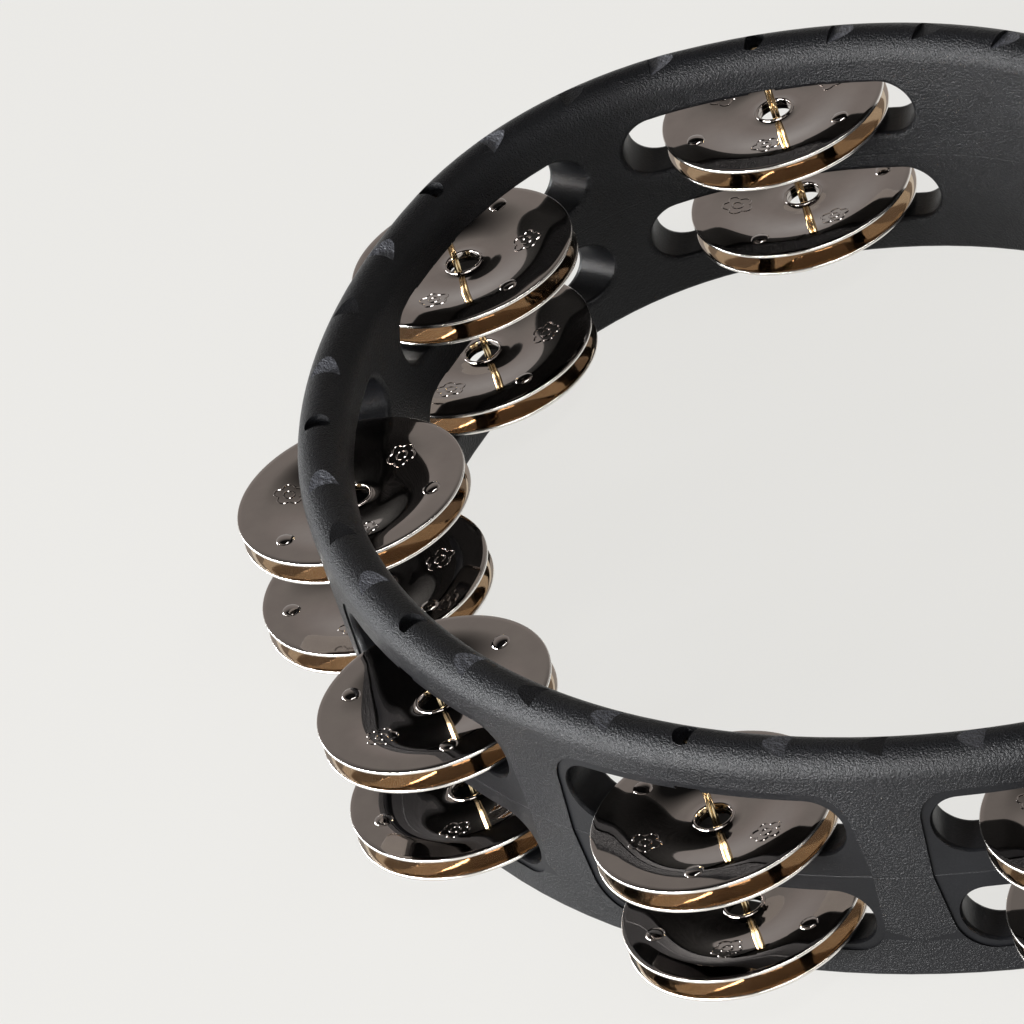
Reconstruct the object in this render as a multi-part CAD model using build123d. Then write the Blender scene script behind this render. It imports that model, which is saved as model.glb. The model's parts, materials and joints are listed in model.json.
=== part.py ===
from build123d import *
import os
from math import cos, degrees, radians, sin, sqrt

# Mountable two-row tambourine. Millimetres, +Z up, standing on the frame's flat bottom edge.
# The jingle bow faces -Y and the straight back bar with the rod clamp faces +Y.
# X is the width. The frame is mirror-symmetric about X = 0, apart from its sawtooth notches.

# Plan of the frame's centre line: tangent arcs from the front apex round to the straight back bar
PLAN_ARCS = [(152.0, 31.5), (127.5, 47.0), (63.25, 55.0), (110.0, 46.5)]  # radius, turn in degrees

# Frame section
FRAME_HEIGHT = 51.5
PARTING_HEIGHT = 24.0       # the mould's parting line, where the wall is thickest
HALF_WALL_BOTTOM = 4.6
HALF_WALL_PARTING = 5.0
BEAD_RADIUS = 4.9           # full round playing edge
BOTTOM_ROUNDING = 1.0

# Jingle stations
STATIONS = 8
STATION_PITCH = 75.5        # along the centre line
ROW_PITCH = 21.2            # between the lower and the upper row
LOWER_FLOOR = 7.7           # height of the lower slots' floor
SLOT_LENGTH = 60.0
SLOT_HEIGHT = 12.4
SLOT_LIP = 1.2              # rounding of the slots' mouths
RELIEF_WIDTH = 5.5          # shallow relief in each slot's roof around the pin
RELIEF_DEPTH = 0.9

# Smooth recessed panel round the two slots of each station
PANEL_DEPTH = 0.4
PANEL_HALF_WAIST = 33.0     # at the parting line
PANEL_HALF_END = 31.4       # at its top and bottom edges
PANEL_BOTTOM = 6.2
PANEL_TOP = 43.4
PANEL_CORNER = 7.0

# Notches across the bead, four to each station pitch
NOTCHES_EACH_SIDE = 17
NOTCH_LENGTH = 5.2
NOTCH_DEPTH = 1.15
SMOOTH_NOTCH_DEPTH = 0.9
SCOOP_RADIUS = 2.6          # D-shaped pocket over each pin
SCOOP_FLAT = 1.4            # from the pin to the pocket's flat side
SCOOP_DEPTH = 1.8

# Jingle pins: one wire bent double
PIN_WIRE_RADIUS = 0.4
PIN_LEG_OFFSET = 0.42
PIN_HOLE_RADIUS = 0.92
PIN_BEND_HEIGHT = 1.5
PIN_MOUTH_RADIUS = 1.5
PIN_MOUTH_DEPTH = 2.0
PIN_TOP_GAP = 0.4           # the wire ends this far under the pocket's floor

# Jingles
JINGLE_RADIUS = 23.0
JINGLE_THICKNESS = 0.6
DISH_RADIUS = 15.5
DISH_FLOOR_RADIUS = 6.5
DISH_DEPTH = 1.8
JINGLE_HOLE_RADIUS = 3.4
HOLE_ROLL_HEIGHT = 0.5
HOLE_ROLL_WIDTH = 0.6
BUMP_ORBIT = 17.4
BUMP_RADIUS = 1.9
BUMP_HEIGHT = 0.5
FLOOR_CLEARANCE = 0.75      # the lower disc's bumps just clear the slot floor
DOME_CLEARANCE = 0.3
STATION_TURN = 47           # each loose disc lies at its own turn about its pin, in degrees
UPPER_ROW_TURN = 20
LOWER_ROW_TURN = 75
TOP_DISC_TURN = 35

# Rod clamp
ROD_RADIUS = 4.75
BOSS_HALF_WIDTH = 15.0
BOSS_REACH = 10.0           # beyond the bar's outer face
BOSS_BOTTOM = 4.5
BOSS_TOP = 43.5
BOSS_ROUNDING = 3.0
ROD_PROUD = 1.5             # rod axis beyond the boss face
PAD_RADIUS = 9.0
PAD_REACH = 1.2
EYE_BORE_RADIUS = 4.8
EYE_RADIUS = 8.3
EYE_THICKNESS = 7.6
EYE_GAP = 0.5
EYE_ROUNDING = 1.2
BOLT_RADIUS = 3.0
BOLT_HOLE_RADIUS = 3.3
BOLT_SPARE = 6.0
BOLT_TIP_CHAMFER = 0.6
WASHER_RADIUS = 7.5
WASHER_THICKNESS = 1.4
NUT_HUB_RADIUS = 5.6
NUT_LENGTH = 7.5
NUT_TAPER = 6
NUT_BORE_CLEARANCE = 0.05
WING_SPAN = 15.0
WING_THICKNESS = 2.4
WING_REACH = 12.5
WING_ROOT = 2.5             # the wings start this far inside the hub
WING_ROUNDING = 2.2

OVERRUN = 2.0               # how far a cutter runs past the face it opens
CURVE_REACH = 22.0          # covers a station's curved wall from its flat tangent plane
CLAMP_CLEARANCE = 20.0      # free space behind the bar for the rod and the eye


def plan_pose(s):
    """Point and heading in degrees on the centre line, s from the apex towards +X."""
    x, y, heading = 0.0, 0.0, 0.0
    left = abs(s)
    for radius, turn in PLAN_ARCS:
        part_turn = min(turn, degrees(left / radius))
        new = heading + part_turn
        x += radius * (sin(radians(new)) - sin(radians(heading)))
        y += radius * (cos(radians(heading)) - cos(radians(new)))
        heading = new
        left -= radius * radians(part_turn)
        if left <= 1e-9:
            break
    x -= left
    if s < 0:
        return -x, y, -heading
    return x, y, heading


BAR_START = sum(radius * radians(turn) for radius, turn in PLAN_ARCS)
BAR_HALF, BAR_Y, _ = plan_pose(BAR_START)

# Places worked out from the plan, with the front apex of the centre line still at the origin
ROD_Y = BAR_Y + HALF_WALL_PARTING + BOSS_REACH + ROD_PROUD
STATION_S = [(i - (STATIONS - 1) / 2) * STATION_PITCH for i in range(STATIONS)]
FRONT_EDGE = min(plan_pose(s)[1] for s in STATION_S) - JINGLE_RADIUS
BACK_EDGE = ROD_Y + EYE_RADIUS
Y_SHIFT = -(FRONT_EDGE + BACK_EDGE) / 2     # puts the middle of the box on the origin


def station_names():
    return [chr(ord("a") + i) for i in range(STATIONS)]


def row_floors():
    return {"lower": LOWER_FLOOR, "upper": LOWER_FLOOR + ROW_PITCH}


def wall_plane(s):
    """Plane at the centre line: its x runs along the wall, its y up, its z outwards."""
    x, y, heading = plan_pose(s)
    along = (cos(radians(heading)), sin(radians(heading)), 0)
    outwards = (sin(radians(heading)), -cos(radians(heading)), 0)
    return Plane(origin=(x, y, 0), x_dir=along, z_dir=outwards)


def level_plane(s):
    """Level plane at the centre line: its x runs along the wall, its z up."""
    x, y, heading = plan_pose(s)
    along = (cos(radians(heading)), sin(radians(heading)), 0)
    return Plane(origin=(x, y, 0), x_dir=along, z_dir=(0, 0, 1))


def swept_ring(section):
    """A section (x outwards, y up) carried round the whole plan."""
    half = None
    for index, (radius, _) in enumerate(PLAN_ARCS):
        start = sum(r * radians(t) for r, t in PLAN_ARCS[:index])
        turn = PLAN_ARCS[index][1]
        x, y, heading = plan_pose(start)
        outwards = Vector(sin(radians(heading)), -cos(radians(heading)), 0)
        placed = Plane(origin=(x, y, 0), x_dir=outwards, z_dir=outwards.cross(Vector(0, 0, 1))) * section
        centre = Vector(x, y, 0) - outwards * radius
        piece = revolve(placed, axis=Axis(tuple(centre), (0, 0, 1)), revolution_arc=turn)
        half = piece if half is None else half + piece
    end_plane = Plane(origin=(BAR_HALF, BAR_Y, 0), x_dir=(0, 1, 0), z_dir=(1, 0, 0))
    half += extrude(end_plane * section, amount=-BAR_HALF)
    return half + mirror(half, about=Plane.YZ)


def frame_section():
    """Wall section with draft to both sides of the parting line and a full round top."""
    bead_foot = FRAME_HEIGHT - BEAD_RADIUS
    outline = Polyline(
        (-BEAD_RADIUS, bead_foot),
        (-HALF_WALL_PARTING, PARTING_HEIGHT),
        (-HALF_WALL_BOTTOM, 0),
        (HALF_WALL_BOTTOM, 0),
        (HALF_WALL_PARTING, PARTING_HEIGHT),
        (BEAD_RADIUS, bead_foot),
    )
    top = ThreePointArc((BEAD_RADIUS, bead_foot), (0, FRAME_HEIGHT), (-BEAD_RADIUS, bead_foot))
    section = make_face(outline + top)
    corners = section.vertices().group_by(Axis.Y)[0]
    return fillet(corners, BOTTOM_ROUNDING)


def skin_section():
    """What the panels are cut out of: the wall's outermost layer and the air beyond it."""
    beyond = HALF_WALL_PARTING + 2 * OVERRUN
    mid = HALF_WALL_PARTING - PANEL_DEPTH
    bottom = HALF_WALL_BOTTOM - PANEL_DEPTH
    top = BEAD_RADIUS - PANEL_DEPTH
    return make_face(Polyline(
        (bottom, 0),
        (mid, PARTING_HEIGHT),
        (top, FRAME_HEIGHT - BEAD_RADIUS),
        (beyond, FRAME_HEIGHT - BEAD_RADIUS),
        (beyond, 0),
        close=True,
    ))


def panel_prism(s):
    outline = make_face(Polyline(
        (-PANEL_HALF_WAIST, PARTING_HEIGHT),
        (-PANEL_HALF_END, PANEL_TOP),
        (PANEL_HALF_END, PANEL_TOP),
        (PANEL_HALF_WAIST, PARTING_HEIGHT),
        (PANEL_HALF_END, PANEL_BOTTOM),
        (-PANEL_HALF_END, PANEL_BOTTOM),
        close=True,
    ))
    ends = outline.vertices().filter_by(lambda v: abs(v.Y - PARTING_HEIGHT) > 1)
    return extrude(wall_plane(s) * fillet(ends, PANEL_CORNER), amount=CURVE_REACH, both=True)


def slot_cutter(s, floor):
    slot = Pos(0, floor + SLOT_HEIGHT / 2) * SlotOverall(SLOT_LENGTH, SLOT_HEIGHT)
    return extrude(wall_plane(s) * slot, amount=CURVE_REACH, both=True)


def relief_cutter(s, floor):
    height = RELIEF_DEPTH + OVERRUN
    relief = Pos(0, floor + SLOT_HEIGHT + RELIEF_DEPTH - height / 2) * Rectangle(RELIEF_WIDTH, height)
    return extrude(wall_plane(s) * relief, amount=HALF_WALL_PARTING + OVERRUN, both=True)


def wedge_notch(s, depth):
    """A ramp that falls along the wall and ends at a steep riser."""
    profile = make_face(Polyline(
        (-NOTCH_LENGTH / 2, FRAME_HEIGHT),
        (NOTCH_LENGTH / 2, FRAME_HEIGHT - depth),
        (NOTCH_LENGTH / 2, FRAME_HEIGHT + OVERRUN),
        (-NOTCH_LENGTH / 2, FRAME_HEIGHT + OVERRUN),
        close=True,
    ))
    return extrude(wall_plane(s) * profile, amount=BEAD_RADIUS + OVERRUN, both=True)


def pin_scoop(s):
    """A D-shaped pocket in the bead over a pin: round on one side, flat on the other."""
    kept = Rectangle(2 * SCOOP_RADIUS, 2 * SCOOP_RADIUS)
    pocket = Circle(SCOOP_RADIUS) & Pos(SCOOP_FLAT - SCOOP_RADIUS, 0) * kept
    floor = level_plane(s).offset(FRAME_HEIGHT - SCOOP_DEPTH)
    return extrude(floor * pocket, amount=SCOOP_DEPTH + OVERRUN)


def notches():
    cutters = []
    for k in range(-NOTCHES_EACH_SIDE, NOTCHES_EACH_SIDE + 1):
        s = k * STATION_PITCH / 4
        if k % 2:
            cutters.append(wedge_notch(s, NOTCH_DEPTH))
        elif k % 4 == 0 or abs(k) > 2 * STATIONS - 2:
            cutters.append(wedge_notch(s, SMOOTH_NOTCH_DEPTH))
        else:
            cutters.append(pin_scoop(s))
    return cutters


def clamp_boss():
    """Block on the back of the bar that holds the rod's V seat, and a pad inside for the washer."""
    outer = BAR_Y + HALF_WALL_PARTING
    depth = BOSS_REACH + HALF_WALL_PARTING
    block = Pos(0, BAR_Y + depth / 2, (BOSS_BOTTOM + BOSS_TOP) / 2) * Box(
        2 * BOSS_HALF_WIDTH, depth, BOSS_TOP - BOSS_BOTTOM)
    back_edges = block.edges().filter_by(lambda e: e.center().Y > outer + BOSS_REACH - 0.1)
    block = fillet(back_edges, BOSS_ROUNDING)
    pad_plane = Plane(origin=(0, BAR_Y, PARTING_HEIGHT), x_dir=(1, 0, 0), z_dir=(0, -1, 0))
    return block + extrude(pad_plane * Circle(PAD_RADIUS), amount=HALF_WALL_PARTING + PAD_REACH)


def clamp_cutters():
    """The rod's 90 degree V seat, the pocket for the eye and the hole for the bolt."""
    far = CLAMP_CLEARANCE
    seat_y = ROD_Y - ROD_RADIUS * sqrt(2)
    seat = make_face(Polyline((0, seat_y), (far, seat_y + far), (-far, seat_y + far), close=True))
    seat_cut = extrude(seat, amount=FRAME_HEIGHT)
    eye_depth = EYE_RADIUS + 2 * EYE_GAP + far
    eye_cut = Pos(0, ROD_Y + far - eye_depth / 2, PARTING_HEIGHT) * Box(
        2 * (EYE_RADIUS + EYE_GAP), eye_depth, EYE_THICKNESS + 2 * EYE_GAP)
    hole_plane = Plane(origin=(0, BAR_Y, PARTING_HEIGHT), x_dir=(1, 0, 0), z_dir=(0, 1, 0))
    hole = extrude(hole_plane * Circle(BOLT_HOLE_RADIUS), amount=far, both=True)
    return [seat_cut, eye_cut, hole]


def is_slot_rim(edge):
    """True for the edges where a slot meets the inner or the outer wall face."""
    core = (SLOT_LENGTH - SLOT_HEIGHT) / 2
    tolerance = 0.03
    for s in STATION_S:
        plane = wall_plane(s)
        points = [plane.to_local_coords(edge @ t) for t in (0, 0.5, 1)]
        near = abs(points[1].X) < SLOT_LENGTH / 2 + OVERRUN and abs(points[1].Z) < CURVE_REACH
        if not near or abs(edge.tangent_at(0.5).dot(plane.z_dir)) > 0.9:
            continue
        for floor in row_floors().values():
            middle = floor + SLOT_HEIGHT / 2
            radii = [sqrt(max(abs(p.X) - core, 0) ** 2 + (p.Y - middle) ** 2) for p in points]
            if max(abs(radius - SLOT_HEIGHT / 2) for radius in radii) < tolerance:
                return True
    return False


def make_frame():
    places = [(s, floor) for s in STATION_S for floor in row_floors().values()]
    body = swept_ring(frame_section()) + clamp_boss()
    body = body.cut(*[slot_cutter(s, floor) for s, floor in places])
    body = fillet([edge for edge in body.edges() if is_slot_rim(edge)], SLOT_LIP)
    skin = swept_ring(skin_section())
    body = body.cut(*[skin & panel_prism(s) for s in STATION_S])
    body = body.cut(*[relief_cutter(s, floor) for s, floor in places])
    body = body.cut(*notches())
    body = body.cut(*clamp_cutters())
    holes = []
    for s in STATION_S:
        x, y, _ = plan_pose(s)
        mouth = Cylinder(PIN_MOUTH_RADIUS, 2 * PIN_MOUTH_DEPTH)
        holes.append(Pos(x, y, FRAME_HEIGHT / 2) * Cylinder(PIN_HOLE_RADIUS, FRAME_HEIGHT + OVERRUN))
        holes.append(Pos(x, y, 0) * mouth)
    return body.cut(*holes)


def make_pin(s):
    """Hairpin: two legs side by side along the wall, joined by a bend at the bottom."""
    plane = wall_plane(s)
    top = FRAME_HEIGHT - SCOOP_DEPTH - PIN_TOP_GAP
    leg_length = top - PIN_BEND_HEIGHT
    pin = None
    for side in (-1, 1):
        foot = plane.from_local_coords(Vector(side * PIN_LEG_OFFSET, PIN_BEND_HEIGHT, 0))
        leg = Pos(foot.X, foot.Y, PIN_BEND_HEIGHT + leg_length / 2) * Cylinder(PIN_WIRE_RADIUS, leg_length)
        pin = leg if pin is None else pin + leg
    centre = plane.from_local_coords(Vector(0, PIN_BEND_HEIGHT, 0))
    start = plane.from_local_coords(Vector(PIN_LEG_OFFSET, PIN_BEND_HEIGHT, 0))
    wire = Plane(origin=start, z_dir=(0, 0, -1)) * Circle(PIN_WIRE_RADIUS)
    bend = revolve(wire, axis=Axis(tuple(centre), tuple(plane.z_dir)), revolution_arc=-180)
    return pin + bend


def make_jingle(s, rim_top, dish_down, turn):
    """Pressed disc. The dish goes down from the rim, or up from it if dish_down is False."""
    t = JINGLE_THICKNESS
    roll_edge = JINGLE_HOLE_RADIUS + HOLE_ROLL_WIDTH
    roll_foot = roll_edge + t / 3
    wall = make_face(Polyline(
        (JINGLE_HOLE_RADIUS, -DISH_DEPTH - t),
        (DISH_FLOOR_RADIUS, -DISH_DEPTH - t),
        (DISH_RADIUS, -t),
        (JINGLE_RADIUS, -t),
        (JINGLE_RADIUS, 0),
        (DISH_RADIUS, 0),
        (DISH_FLOOR_RADIUS, -DISH_DEPTH),
        (roll_foot, -DISH_DEPTH),
        (roll_edge, -DISH_DEPTH + HOLE_ROLL_HEIGHT),
        (JINGLE_HOLE_RADIUS, -DISH_DEPTH + HOLE_ROLL_HEIGHT),
        close=True,
    ))
    disc = revolve(Plane.XZ * wall, axis=Axis.Z)
    cap_radius = (BUMP_RADIUS ** 2 + BUMP_HEIGHT ** 2) / (2 * BUMP_HEIGHT)
    above = Pos(0, 0, BUMP_HEIGHT) * Box(2 * JINGLE_RADIUS, 2 * JINGLE_RADIUS, 2 * BUMP_HEIGHT)
    for i in range(3):
        angle = radians(turn + 120 * i)
        x, y = BUMP_ORBIT * cos(angle), BUMP_ORBIT * sin(angle)
        disc += Pos(x, y, BUMP_HEIGHT - cap_radius) * Sphere(cap_radius) & above
    if not dish_down:
        disc = Pos(0, 0, -t) * Rot(180, 0, 0) * disc
    x, y, _ = plan_pose(s)
    return Pos(x, y, rim_top) * disc


def make_eyebolt():
    eye = Pos(0, ROD_Y, PARTING_HEIGHT) * Cylinder(EYE_RADIUS, EYE_THICKNESS)
    eye = fillet(eye.edges(), EYE_ROUNDING)
    tip_y = BAR_Y - HALF_WALL_PARTING - PAD_REACH - WASHER_THICKNESS - NUT_LENGTH - BOLT_SPARE
    plane = Plane(origin=(0, tip_y, PARTING_HEIGHT), x_dir=(1, 0, 0), z_dir=(0, 1, 0))
    shank = extrude(plane * Circle(BOLT_RADIUS), amount=ROD_Y - tip_y - EYE_BORE_RADIUS)
    shank = chamfer(shank.edges().sort_by(Axis.Y)[0], BOLT_TIP_CHAMFER)
    return eye + shank - Pos(0, ROD_Y, PARTING_HEIGHT) * Cylinder(EYE_BORE_RADIUS, FRAME_HEIGHT)


def inner_stack_plane(depth):
    """Plane across the bolt, depth inwards from the washer pad, facing into the ring."""
    y = BAR_Y - HALF_WALL_PARTING - PAD_REACH - depth
    return Plane(origin=(0, y, PARTING_HEIGHT), x_dir=(1, 0, 0), z_dir=(0, -1, 0))


def make_washer():
    ring = Circle(WASHER_RADIUS) - Circle(BOLT_HOLE_RADIUS)
    return extrude(inner_stack_plane(0) * ring, amount=WASHER_THICKNESS)


def make_wing_nut():
    base = inner_stack_plane(WASHER_THICKNESS)
    nut = extrude(base * Circle(NUT_HUB_RADIUS), amount=NUT_LENGTH, taper=NUT_TAPER)
    root = NUT_HUB_RADIUS - WING_ROOT
    tip = 2 * WING_THICKNESS
    wing = make_face(Polyline(
        (root, 1.0),
        (NUT_HUB_RADIUS + 1.5, 1.0),
        (WING_SPAN, WING_REACH - tip),
        (WING_SPAN, WING_REACH),
        (WING_SPAN - tip, WING_REACH),
        (root, NUT_LENGTH - 2),
        close=True,
    ))
    wing = fillet(wing.vertices().filter_by(lambda v: v.X > WING_SPAN - tip - 1), WING_ROUNDING)
    for side in (-1, 1):
        along = Vector(side, 0, 0)
        blade = Plane(origin=base.origin, x_dir=along, z_dir=along.cross(Vector(0, -1, 0)))
        nut += extrude(blade * wing, amount=WING_THICKNESS / 2, both=True)
    bore = extrude(base * Circle(BOLT_RADIUS + NUT_BORE_CLEARANCE), amount=NUT_LENGTH + OVERRUN)
    return nut - bore


def jingle_heights(floor):
    """Rim top heights of a resting pair, the lower disc first."""
    lower_top = floor + FLOOR_CLEARANCE + JINGLE_THICKNESS
    upper_bottom = lower_top + 2 * DISH_DEPTH + DOME_CLEARANCE
    return lower_top, upper_bottom + JINGLE_THICKNESS


def make_parts():
    parts = {"frame": make_frame()}
    for index, (name, s) in enumerate(zip(station_names(), STATION_S)):
        parts[f"jingle_pin_{name}"] = make_pin(s)
        for row, floor in row_floors().items():
            low, high = jingle_heights(floor)
            turn = STATION_TURN * index + (UPPER_ROW_TURN if row == "upper" else LOWER_ROW_TURN)
            parts[f"jingle_{name}_{row}_bottom"] = make_jingle(s, low, False, turn)
            parts[f"jingle_{name}_{row}_top"] = make_jingle(
                s, high, True, turn + TOP_DISC_TURN)
    parts["clamp_eyebolt"] = make_eyebolt()
    parts["clamp_washer"] = make_washer()
    parts["clamp_wing_nut"] = make_wing_nut()
    return {name: Pos(0, Y_SHIFT, 0) * shape for name, shape in parts.items()}


def main():
    os.makedirs("parts", exist_ok=True)
    for name, shape in make_parts().items():
        export_step(shape, f"parts/{name}.step")
        box = shape.bounding_box()
        print(f"{name}: {len(shape.solids())} solid, {shape.volume:.0f} mm3, {box.size}")


main()
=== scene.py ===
import json
from math import cos, pi, radians, sin, sqrt

import bmesh
import bpy
import numpy as np
from mathutils import Matrix, Vector

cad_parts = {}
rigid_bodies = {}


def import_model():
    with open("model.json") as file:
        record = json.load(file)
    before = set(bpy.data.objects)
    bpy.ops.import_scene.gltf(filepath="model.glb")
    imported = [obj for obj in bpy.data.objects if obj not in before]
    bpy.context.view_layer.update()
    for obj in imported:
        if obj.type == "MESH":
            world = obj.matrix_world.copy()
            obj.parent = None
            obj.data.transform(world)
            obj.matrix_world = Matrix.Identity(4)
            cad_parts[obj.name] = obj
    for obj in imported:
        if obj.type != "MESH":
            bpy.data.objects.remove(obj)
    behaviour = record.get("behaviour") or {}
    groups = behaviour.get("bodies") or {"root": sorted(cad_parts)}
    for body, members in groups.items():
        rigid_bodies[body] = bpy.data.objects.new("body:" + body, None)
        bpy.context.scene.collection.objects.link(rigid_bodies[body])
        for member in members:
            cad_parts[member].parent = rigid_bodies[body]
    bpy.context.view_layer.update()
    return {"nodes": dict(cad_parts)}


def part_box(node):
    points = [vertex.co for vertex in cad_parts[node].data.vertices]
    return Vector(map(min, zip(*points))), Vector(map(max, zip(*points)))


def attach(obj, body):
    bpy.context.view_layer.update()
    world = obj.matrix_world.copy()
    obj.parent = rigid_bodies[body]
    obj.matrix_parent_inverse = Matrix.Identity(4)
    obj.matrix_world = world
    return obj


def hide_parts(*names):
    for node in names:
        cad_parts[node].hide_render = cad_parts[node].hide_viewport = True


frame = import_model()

FRAME_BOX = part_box("frame")
for leftover in [thing for thing in bpy.data.objects if thing.name in ("Cube", "Light", "Camera")]:
    bpy.data.objects.remove(leftover)

# Everything below is in metres, in the frame's own axes: the jingle bow faces -Y, the back bar +Y.
MM = 0.001

# The frame's plan and wall, as in the CAD model
PLAN_ARCS = [(152.0 * MM, 31.5), (127.5 * MM, 47.0), (63.25 * MM, 55.0), (110.0 * MM, 46.5)]
STATIONS = "abcdefgh"
STATION_PITCH = 75.5 * MM
NOTCH_PITCH = STATION_PITCH / 4
NOTCH_LENGTH = 5.2 * MM
NOTCH_DEPTH = 1.15 * MM
FRAME_HEIGHT = FRAME_BOX[1].z
PARTING_HEIGHT = 24.0 * MM
HALF_WALL = 5.0 * MM
PLAN_SAMPLES = 1601         # points along the centre line when faces are sorted by place
PANEL_HALF_LENGTH = 33.0 * MM
PANEL_BOTTOM = 6.2 * MM
PANEL_TOP = 43.4 * MM

# Jingle, measured from the rim's outer face
JINGLE_RADIUS = 23.0 * MM
CAD_SHEET = 0.6 * MM
CAD_DISH = 1.8 * MM
JINGLE_THICKNESS = 0.75 * MM
DISH_DEPTH = 1.7 * MM
DISH_RADIUS = 19.0 * MM
DISH_RAMP = 12.0 * MM
DISH_FLOOR_RADIUS = 6.0 * MM
RIM_ROUND = 0.25 * MM
HOLE_RADIUS = 3.4 * MM
ROLL_RADIUS = 0.36 * MM
BUMP_ORBIT = 17.2 * MM
BUMP_RADIUS = 1.9 * MM
BUMP_HEIGHT = 0.58 * MM
MARK_ORBIT = 13.4 * MM
MARK_RADIUS = 3.0 * MM
MARK_LINE = 0.22 * MM

# How each loose pair rests: the shift of its hole off the pin, how far its outer edge tips down,
# and its top disc's turn. The hole leaves 2.6 mm free round the pin.
REST = {
    ("a", "upper"): ((-1.1, 0.8), 0.8, 8),
    ("a", "lower"): ((-1.0, 1.0), 0.7, 45),
    ("b", "upper"): ((1.2, 0.9), 0.6, -10),
    ("b", "lower"): ((0.4, -1.3), -0.7, -13),
    ("c", "upper"): ((1.8, 0.9), 0.0, 27),
    ("c", "lower"): ((1.5, -0.8), 0.7, -3),
    ("d", "upper"): ((0.0, -0.9), 0.6, 86),
    ("d", "lower"): ((0.4, -1.0), 0.6, 6),
    ("e", "upper"): ((1.7, -1.3), -0.5, -56),
    ("e", "lower"): ((1.3, -1.0), 0.8, 2),
    ("f", "upper"): ((2.0, -0.3), 0.8, 30),
    ("f", "lower"): ((1.6, -0.6), 0.6, 75),
    ("g", "upper"): ((-0.9, -1.2), 0.8, 50),
    ("g", "lower"): ((0.4, 0.9), 0.0, 95),
    ("h", "upper"): ((-0.5, -0.8), 0.5, 15),
    ("h", "lower"): ((0.8, 1.1), -0.8, 110),
}

# Camera
CAMERA_TARGET = Vector((-0.0760, -0.0424, 0.0250))
CAMERA_AZIMUTH = 57.05
CAMERA_ELEVATION = 34.2
CAMERA_ROLL = -19.55
CAMERA_DISTANCE = 1.873
CAMERA_LENS = 341.0


# ---------------------------------------------------------------- materials

def new_material(name):
    """A material, its node tree and its shader."""
    material = bpy.data.materials.new(name)
    material.use_nodes = True
    tree = material.node_tree
    return material, tree, tree.nodes["Principled BSDF"]


def add_node(tree, kind, **settings):
    """A node; each setting is one of its properties or, failing that, one of its inputs."""
    node = tree.nodes.new(kind)
    for key, value in settings.items():
        if hasattr(node, key):
            setattr(node, key, value)
        else:
            node.inputs[key.replace("_", " ")].default_value = value
    return node


def add_noise(tree, scale, detail=2.0, roughness=0.5):
    """Noise in object space; scale is features per metre."""
    place = add_node(tree, "ShaderNodeTexCoord")
    noise = add_node(tree, "ShaderNodeTexNoise")
    noise.inputs["Scale"].default_value = scale
    noise.inputs["Detail"].default_value = detail
    noise.inputs["Roughness"].default_value = roughness
    tree.links.new(place.outputs["Object"], noise.inputs["Vector"])
    return noise.outputs["Fac"]


def add_ramp(tree, source, stops):
    """Colour ramp over source; stops are (position, colour)."""
    ramp = add_node(tree, "ShaderNodeValToRGB")
    elements = ramp.color_ramp.elements
    while len(elements) < len(stops):
        elements.new(0.5)
    for element, (position, colour) in zip(elements, stops):
        element.position = position
        element.color = (*colour, 1.0)
    tree.links.new(source, ramp.inputs["Fac"])
    return ramp.outputs["Color"]


def add_range(tree, source, low, high, start=0.3, end=0.7):
    """Source between start and end, as a number from low to high."""
    node = add_node(tree, "ShaderNodeMapRange")
    node.inputs["From Min"].default_value = start
    node.inputs["From Max"].default_value = end
    node.inputs["To Min"].default_value = low
    node.inputs["To Max"].default_value = high
    tree.links.new(source, node.inputs["Value"])
    return node.outputs["Result"]


def add_bump(tree, shader, heights):
    """Stacked bumps; heights are (source, strength, distance in metres)."""
    normal = None
    for source, strength, distance in heights:
        bump = add_node(tree, "ShaderNodeBump")
        bump.inputs["Strength"].default_value = strength
        bump.inputs["Distance"].default_value = distance
        tree.links.new(source, bump.inputs["Height"])
        if normal is not None:
            tree.links.new(normal, bump.inputs["Normal"])
        normal = bump.outputs["Normal"]
    tree.links.new(normal, shader.inputs["Normal"])


def add_parting_line(tree):
    """0 on the mould's parting line and 1 off it, for bump."""
    place = add_node(tree, "ShaderNodeTexCoord")
    split = add_node(tree, "ShaderNodeSeparateXYZ")
    tree.links.new(place.outputs["Object"], split.inputs["Vector"])
    gap = add_node(tree, "ShaderNodeMath", operation="SUBTRACT")
    gap.inputs[1].default_value = PARTING_HEIGHT
    tree.links.new(split.outputs["Z"], gap.inputs[0])
    size = add_node(tree, "ShaderNodeMath", operation="ABSOLUTE")
    tree.links.new(gap.outputs["Value"], size.inputs[0])
    return add_range(tree, size.outputs["Value"], 0.0, 1.0, 0.0, 0.22 * MM)


def moulded_plastic(name, grain, low_roughness, high_roughness, shade=1.0, fineness=2300.0, gloss=0.17):
    """Black moulded plastic with a stippled grain; grain 0 is the smooth mould finish."""
    material, tree, shader = new_material(name)
    patches = add_noise(tree, 60.0, 4.0)
    stipple = add_noise(tree, fineness, 2.5, 0.7)
    ripple = add_noise(tree, 900.0, 2.0)
    # shade above 1 lightens the colour, which paints light onto the surface.
    dark = (0.0022 * shade, 0.0023 * shade, 0.0028 * shade)
    light = (0.0042 * shade, 0.0044 * shade, 0.0052 * shade)
    tree.links.new(add_ramp(tree, patches, [(0.3, dark), (0.7, light)]), shader.inputs["Base Color"])
    tree.links.new(add_range(tree, stipple, low_roughness, high_roughness), shader.inputs["Roughness"])
    shader.inputs["Specular IOR Level"].default_value = gloss
    add_bump(tree, shader, [
        (stipple, 0.08 + 0.9 * grain, 0.30 * MM),
        (ripple, 0.08 + 0.26 * grain, 0.16 * MM),
        (add_parting_line(tree), 0.5, 0.15 * MM),
    ])
    return material


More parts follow.
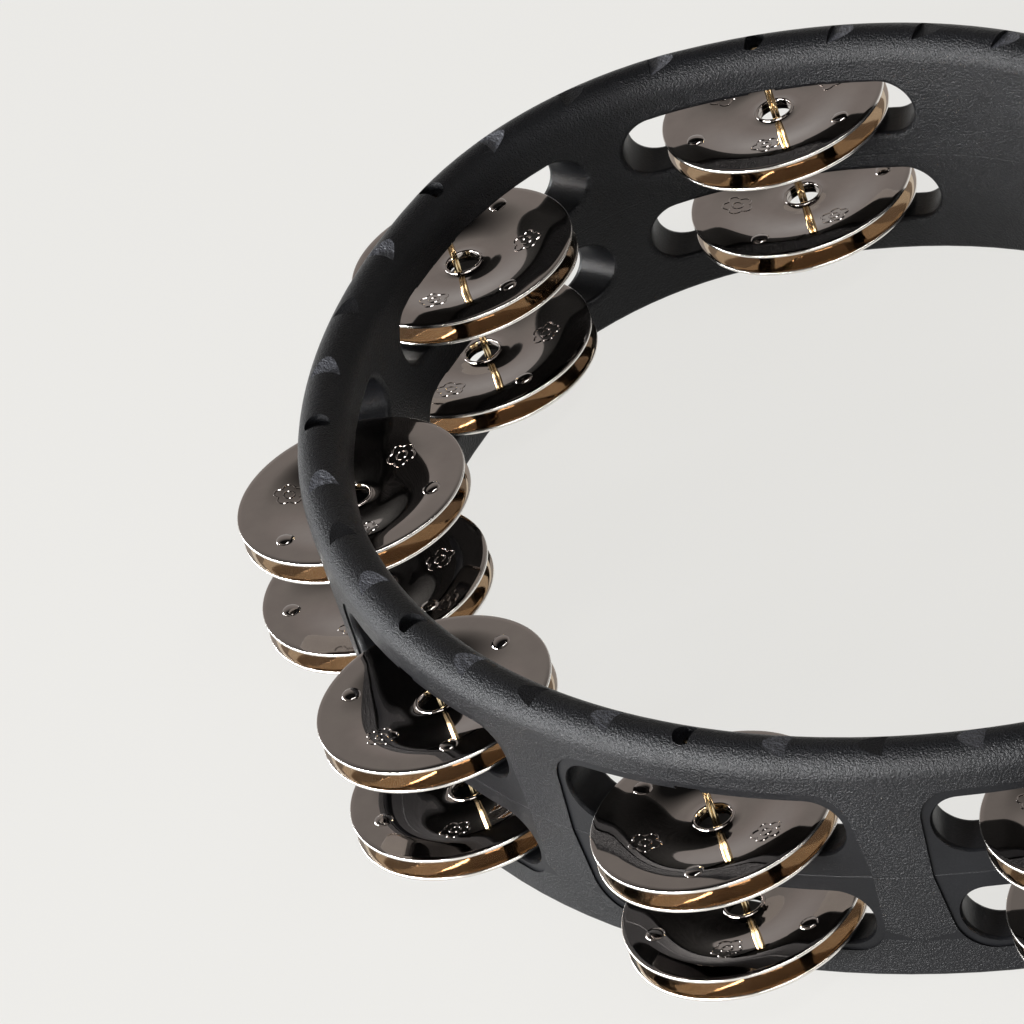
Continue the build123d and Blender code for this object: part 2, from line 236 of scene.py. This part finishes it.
def plated_metal(name, light, dark, low_roughness, high_roughness, scratch=0.05):
    """Polished plated sheet with faint smears and pits."""
    material, tree, shader = new_material(name)
    smears = add_noise(tree, 160.0, 5.0, 0.6)
    pits = add_noise(tree, 1500.0, 2.0)
    shader.inputs["Metallic"].default_value = 1.0
    tree.links.new(add_ramp(tree, smears, [(0.25, dark), (0.75, light)]), shader.inputs["Base Color"])
    tree.links.new(add_range(tree, smears, low_roughness, high_roughness), shader.inputs["Roughness"])
    add_bump(tree, shader, [(pits, scratch, 0.02 * MM), (smears, scratch, 0.05 * MM)])
    return material


# ---------------------------------------------------------------- plan of the frame

def plan_pose(s):
    """Point and heading in radians on the frame's centre line, s from the front apex towards +X."""
    x, y, heading, left = 0.0, 0.0, 0.0, abs(s)
    for radius, turn in PLAN_ARCS:
        new = heading + min(radians(turn), left / radius)
        x += radius * (sin(new) - sin(heading))
        y += radius * (cos(heading) - cos(new))
        left -= radius * (new - heading)
        heading = new
        if left <= 1e-9:
            break
    x -= left
    front = FRAME_BOX[0].y + HALF_WALL
    if s < 0:
        return Vector((-x, y + front, 0)), -heading
    return Vector((x, y + front, 0)), heading


ARC_LENGTH = sum(radius * radians(turn) for radius, turn in PLAN_ARCS)
HALF_LENGTH = ARC_LENGTH + plan_pose(ARC_LENGTH)[0].x
STATION_S = [(i - 3.5) * STATION_PITCH for i in range(8)]


def outward(heading):
    """Unit vector out of the ring at a heading."""
    return Vector((sin(heading), -cos(heading), 0))


# ---------------------------------------------------------------- mesh helpers

def smooth_by_angle(mesh, angle):
    """Smooth shading, with edges over angle degrees kept sharp."""
    mesh.polygons.foreach_set("use_smooth", [True] * len(mesh.polygons))
    mesh.set_sharp_from_angle(angle=radians(angle))


# ---------------------------------------------------------------- frame

def nearest_on_plan(points):
    """For each point, the distance along the centre line, the signed distance and the way outwards."""
    samples = np.linspace(-HALF_LENGTH, HALF_LENGTH, PLAN_SAMPLES)
    poses = [plan_pose(s) for s in samples]
    line = np.array([pose[0].xy for pose in poses])
    outwards = np.array([outward(pose[1]).xy for pose in poses])
    gaps = points[:, None, :2] - line[None, :, :]
    nearest = np.argmin((gaps ** 2).sum(2), axis=1)
    offset = (gaps[np.arange(len(points)), nearest] * outwards[nearest]).sum(1)
    return samples[nearest], offset, outwards[nearest]


def dress_frame(grained, smooth, stippled):
    """The moulding: grained outside, smooth in the slots and on the recessed panels, and coarsely
    stippled on the ramp of every other notch, where a lighter, glossier plastic is a painted highlight."""
    mesh = frame["nodes"]["frame"].data
    mesh.materials.clear()
    mesh.materials.append(grained)
    mesh.materials.append(smooth)
    mesh.materials.append(stippled)
    corners = np.array([vertex.co for vertex in mesh.vertices])
    parts = [nearest_on_plan(chunk) for chunk in np.array_split(corners, len(corners) // 1000 + 1)]
    s, offset, outwards = (np.concatenate(part) for part in zip(*parts))
    faces = np.array([polygon.vertices[:3] for polygon in mesh.polygons])
    normals = np.array([polygon.normal for polygon in mesh.polygons])
    low = corners[faces, 2].min(1)
    high = corners[faces, 2].max(1)
    middle = s[faces].mean(1)
    sideways = outwards[faces[:, 0]]

    from_station = np.min(np.abs(middle[:, None] - np.array(STATION_S)[None, :]), axis=1)
    in_panel = (from_station < PANEL_HALF_LENGTH + 1 * MM) & (low > PANEL_BOTTOM - 0.5 * MM)
    in_panel &= (high < PANEL_TOP + 0.5 * MM) & (offset[faces].min(1) > -HALF_WALL + 0.55 * MM)
    in_panel &= offset[faces].max(1) < HALF_WALL - 0.2 * MM

    notch = np.round(middle / NOTCH_PITCH).astype(int)
    slope = np.abs(normals[:, 0] * sideways[:, 1] - normals[:, 1] * sideways[:, 0])
    # Ramps of every other notch, which take the plastic painted lighter as a painted highlight.
    on_ramp = (low > FRAME_HEIGHT - NOTCH_DEPTH - 3 * MM) & (slope > 0.1) & (slope < 0.6)
    on_ramp &= (np.abs(middle - notch * NOTCH_PITCH) < NOTCH_LENGTH / 2 + 1 * MM) & (notch % 2 == 1)
    slots = np.where(on_ramp, 2, in_panel.astype(int))
    mesh.polygons.foreach_set("material_index", slots.astype(np.int32))


# ---------------------------------------------------------------- jingles

def dish_height(r):
    """Height of the outer face at a radius: flat brim, then a smooth dish to the hole."""
    blend = min(1.0, max(0.0, (DISH_RADIUS - r) / DISH_RAMP))
    return -DISH_DEPTH * blend * blend * (3 - 2 * blend)


def jingle_profile():
    """(radius, height, face) points round the sheet: outer face 0, inner face 1, edges 2."""
    t = JINGLE_THICKNESS
    points = []
    steps = 20
    for i in range(steps + 1):
        r = JINGLE_RADIUS - RIM_ROUND + (DISH_FLOOR_RADIUS - JINGLE_RADIUS) * i / steps
        points.append((r, dish_height(r), 0))
    lip = HOLE_RADIUS + ROLL_RADIUS
    points.append((lip + 1.8 * ROLL_RADIUS, -DISH_DEPTH, 0))
    for i in range(9):
        a = pi * i / 8
        points.append((lip + ROLL_RADIUS * cos(a), -DISH_DEPTH + ROLL_RADIUS * sin(a) + 0.1 * MM, 0))
    inner = [(r, z - t, 1) for r, z, _ in reversed(points[:steps + 1])]
    points.append((HOLE_RADIUS, -DISH_DEPTH - t, 2))
    points.extend(inner)
    for i in range(1, 6):
        a = -pi / 2 + pi * i / 6
        points.append((JINGLE_RADIUS - RIM_ROUND + RIM_ROUND * cos(a), -t / 2 + t / 2 * sin(a), 2))
    return points


def add_tube(bm, path, radius, closed, material, sides=6):
    """A thin raised line that follows path, for the pressed marks."""
    rings = []
    count = len(path)
    for i, point in enumerate(path):
        before = path[i - 1] if (closed or i) else point
        after = path[(i + 1) % count] if (closed or i < count - 1) else point
        along = (after - before).normalized()
        side = along.cross(Vector((0, 0, 1))).normalized()
        ring = []
        for k in range(sides):
            a = 2 * pi * k / sides
            ring.append(bm.verts.new(point + side * radius * cos(a) + Vector((0, 0, 0.55 * radius * sin(a)))))
        rings.append(ring)
    spans = count if closed else count - 1
    for i in range(spans):
        a, b = rings[i], rings[(i + 1) % count]
        for k in range(sides):
            face = bm.faces.new((a[k], a[(k + 1) % sides], b[(k + 1) % sides], b[k]))
            face.material_index = material
    if not closed:
        bm.faces.new(rings[0][::-1]).material_index = material
        bm.faces.new(rings[-1]).material_index = material


def add_mark(bm, angle):
    """A plain five-petalled flower pressed into the dish, with a small ring at its middle."""
    centre = Vector((MARK_ORBIT * cos(angle), MARK_ORBIT * sin(angle), 0))

    def on_dish(r, a):
        point = centre + Vector((r * cos(a), r * sin(a), 0))
        point.z = dish_height(point.length) + 0.02 * MM
        return point

    petals = 5
    steps = 70
    outline = []
    for i in range(steps):
        a = 2 * pi * i / steps
        outline.append(on_dish(MARK_RADIUS * (0.72 + 0.28 * abs(cos(petals * a / 2))), a + angle))
    add_tube(bm, outline, MARK_LINE, True, 0)
    add_tube(bm, [on_dish(0.36 * MARK_RADIUS, 2 * pi * i / 20) for i in range(20)], MARK_LINE, True, 0)


def add_bump_cap(bm, angle):
    """A round pimple pressed up from the sheet, with a soft hollow round its foot."""
    centre = Vector((BUMP_ORBIT * cos(angle), BUMP_ORBIT * sin(angle), 0))
    segments = 28
    steps = 9
    rows = []
    for j in range(steps):
        share = j / steps
        r = BUMP_RADIUS * (1 - share)
        rise = BUMP_HEIGHT * sqrt(1 - (1 - share) ** 2) - (0.06 * MM if j == 0 else 0)
        ring = []
        for i in range(segments):
            a = 2 * pi * i / segments
            x, y = centre.x + r * cos(a), centre.y + r * sin(a)
            ring.append(bm.verts.new((x, y, dish_height(sqrt(x * x + y * y)) + rise)))
        rows.append(ring)
    for low, high in zip(rows, rows[1:]):
        for i in range(segments):
            bm.faces.new((low[i], low[(i + 1) % segments], high[(i + 1) % segments], high[i]))
    top = bm.verts.new((centre.x, centre.y, dish_height(centre.length) + BUMP_HEIGHT))
    for i in range(segments):
        bm.faces.new((rows[-1][i], rows[-1][(i + 1) % segments], top))


def jingle_mesh(materials):
    """One disc: sheet, three bumps and three marks; materials are outer face, inner face, edges."""
    bm = bmesh.new()
    profile = jingle_profile()
    segments = 112
    rings = []
    for r, z, _ in profile:
        ring = []
        for i in range(segments):
            a = 2 * pi * i / segments
            ring.append(bm.verts.new((r * cos(a), r * sin(a), z)))
        rings.append(ring)
    for j, (_, _, kind) in enumerate(profile):
        low, high = rings[j], rings[(j + 1) % len(rings)]
        for i in range(segments):
            face = bm.faces.new((low[i], high[i], high[(i + 1) % segments], low[(i + 1) % segments]))
            face.material_index = kind
    bmesh.ops.recalc_face_normals(bm, faces=bm.faces)
    for k in range(3):
        add_bump_cap(bm, radians(120 * k))
        add_mark(bm, radians(120 * k + 60))
    mesh = bpy.data.meshes.new("jingle")
    bm.to_mesh(mesh)
    bm.free()
    for material in materials:
        mesh.materials.append(material)
    smooth_by_angle(mesh, 40)
    return mesh


def rest_matrix(name, row):
    """How a loose pair lies: shifted in its hole and tipped about the wall's direction."""
    (shift_x, shift_y), tip, _ = REST[name, row]
    _, heading = plan_pose(STATION_S[STATIONS.index(name)])
    along = Vector((cos(heading), sin(heading), 0))
    return Matrix.Translation((shift_x * MM, shift_y * MM, 0)), Matrix.Rotation(radians(tip), 4, along)


def place_jingles(mesh):
    """Every disc, resting at its CAD node's height, with its own turn about the pin."""
    for name in STATIONS:
        for row in ("lower", "upper"):
            shift, tip = rest_matrix(name, row)
            for place in ("bottom", "top"):
                node = f"jingle_{name}_{row}_{place}"
                low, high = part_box(node)
                centre = (low + high) / 2
                turn = radians(REST[name, row][2] + (0 if place == "top" else 50))
                if place == "top":
                    height = low.z + CAD_SHEET + CAD_DISH
                    face = Matrix.Rotation(turn, 4, "Z")
                else:
                    height = high.z - CAD_SHEET - CAD_DISH
                    face = Matrix.Rotation(pi, 4, "X") @ Matrix.Rotation(turn, 4, "Z")
                piece = bpy.data.objects.new(f"{node}_disc", mesh)
                bpy.context.scene.collection.objects.link(piece)
                piece.matrix_world = shift @ Matrix.Translation((centre.x, centre.y, height)) @ tip @ face
                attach(piece, node)
                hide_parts(node)


# ---------------------------------------------------------------- other CAD nodes

def dress_node(node, material):
    """One material over the whole of a CAD node."""
    mesh = frame["nodes"][node].data
    mesh.materials.clear()
    mesh.materials.append(material)


# ---------------------------------------------------------------- stage, light and camera

def add_floor():
    """Plain pale floor, which also glows a little so that it stays even."""
    mesh = bpy.data.meshes.new("floor")
    size = 6.0
    mesh.from_pydata([(-size, -size, 0), (size, -size, 0), (size, size, 0), (-size, size, 0)], [], [(0, 1, 2, 3)])
    floor = bpy.data.objects.new("floor", mesh)
    floor.location.z = -0.0004
    bpy.context.scene.collection.objects.link(floor)
    material, tree, shader = new_material("pale_floor")
    shader.inputs["Roughness"].default_value = 0.9
    shader.inputs["Specular IOR Level"].default_value = 0.1
    shader.inputs["Emission Color"].default_value = (0.82, 0.812, 0.785, 1.0)
    shader.inputs["Emission Strength"].default_value = 0.90
    shade = add_noise(tree, 3.0, 2.0)
    tree.links.new(
        add_ramp(tree, shade, [(0.3, (0.050, 0.049, 0.048)), (0.7, (0.056, 0.055, 0.054))]),
        shader.inputs["Base Color"])
    mesh.materials.append(material)


def add_world():
    """Bright at the horizon, dark overhead."""
    world = bpy.data.worlds.new("studio")
    bpy.context.scene.world = world
    world.use_nodes = True
    tree = world.node_tree
    background = tree.nodes["Background"]
    place = add_node(tree, "ShaderNodeTexCoord")
    split = add_node(tree, "ShaderNodeSeparateXYZ")
    tree.links.new(place.outputs["Generated"], split.inputs["Vector"])
    stops = [
        (0.0, (0.60, 0.59, 0.58)),
        (0.22, (0.42, 0.40, 0.39)),
        (0.50, (0.33, 0.30, 0.285)),
        (0.60, (0.28, 0.26, 0.245)),
        (0.80, (0.01, 0.01, 0.01)),
    ]
    tree.links.new(add_ramp(tree, split.outputs["Z"], stops), background.inputs["Color"])
    background.inputs["Strength"].default_value = 1.0


def add_softbox(name, azimuth, elevation, distance, width, height, power, colour=(1, 1, 1)):
    """Area light seen from the object in that direction; azimuth 0 is -Y, as for the camera."""
    light = bpy.data.lights.new(name, "AREA")
    light.shape = "RECTANGLE"
    light.size = width
    light.size_y = height
    light.energy = power
    light.color = colour
    lamp = bpy.data.objects.new(name, light)
    a, e = radians(azimuth), radians(elevation)
    direction = Vector((sin(a) * cos(e), -cos(a) * cos(e), sin(e)))
    lamp.location = Vector((0, 0, 0.03)) + direction * distance
    lamp.rotation_euler = direction.to_track_quat("Z", "Y").to_euler()
    bpy.context.scene.collection.objects.link(lamp)


def add_camera():
    """Long lens at the photo's angle, rolled as the photo is."""
    data = bpy.data.cameras.new("camera")
    data.lens = CAMERA_LENS
    data.sensor_width = 36.0
    data.clip_end = 50
    camera = bpy.data.objects.new("camera", data)
    a, e = radians(CAMERA_AZIMUTH), radians(CAMERA_ELEVATION)
    direction = Vector((sin(a) * cos(e), -cos(a) * cos(e), sin(e)))
    camera.location = CAMERA_TARGET + direction * CAMERA_DISTANCE
    turn = direction.to_track_quat("Z", "Y").to_matrix().to_4x4()
    camera.matrix_world = (
        Matrix.Translation(camera.location) @ turn @ Matrix.Rotation(radians(CAMERA_ROLL), 4, "Z"))
    bpy.context.scene.collection.objects.link(camera)
    bpy.context.scene.camera = camera


def main():
    grained = moulded_plastic("moulded_black_grained", 1.0, 0.28, 0.40)
    smooth = moulded_plastic("moulded_black_smooth", 0.12, 0.30, 0.42)
    # Notch ramps: real coarse stipple, but eight times lighter and much glossier, as a painted highlight.
    stippled = moulded_plastic("moulded_black_stippled_painted_lighter", 2.2, 0.36, 0.60, 8.0, 950.0, 0.6)
    nickel = plated_metal("dark_nickel", (0.50, 0.46, 0.43), (0.44, 0.40, 0.38), 0.02, 0.06, 0.02)
    # The faces that meet inside a pair get a lighter, warmer copy of the nickel: a painted reflection, for the
    # golden glow bounced between the two discs.
    nickel_inside_painted_reflection = plated_metal("dark_nickel_inside", (0.80, 0.73, 0.65), (0.75, 0.68, 0.60), 0.02, 0.06, 0.02)
    # The rims and hole walls get a near-white, rougher copy of the plating: a painted highlight that draws a
    # white line round each disc.
    edge_painted_highlight = plated_metal("edge_painted_highlight", (0.93, 0.90, 0.86), (0.80, 0.77, 0.73), 0.12, 0.25)
    brass = plated_metal("brass_wire", (0.93, 0.76, 0.48), (0.80, 0.60, 0.33), 0.10, 0.22)
    steel = plated_metal("clamp_steel", (0.80, 0.80, 0.80), (0.66, 0.66, 0.67), 0.14, 0.28)
    dress_frame(grained, smooth, stippled)
    place_jingles(jingle_mesh([nickel, nickel_inside_painted_reflection, edge_painted_highlight]))
    for name in STATIONS:
        dress_node(f"jingle_pin_{name}", brass)
    for node in ("clamp_eyebolt", "clamp_washer", "clamp_wing_nut"):
        dress_node(node, steel)
    add_floor()
    add_world()
    add_softbox("key_left", -12, 12, 1.7, 1.5, 0.50, 140)
    add_softbox("low_left", -57, 4, 1.5, 1.1, 0.30, 22, (0.94, 0.97, 1.0))
    add_softbox("front", 60, 20, 1.9, 1.2, 0.35, 9)
    add_softbox("upper_right", 92, 62, 1.6, 1.5, 0.2, 9)
    add_camera()
    bpy.context.scene.view_settings.view_transform = "Standard"
    bpy.context.scene.cycles.glossy_bounces = 10


main()
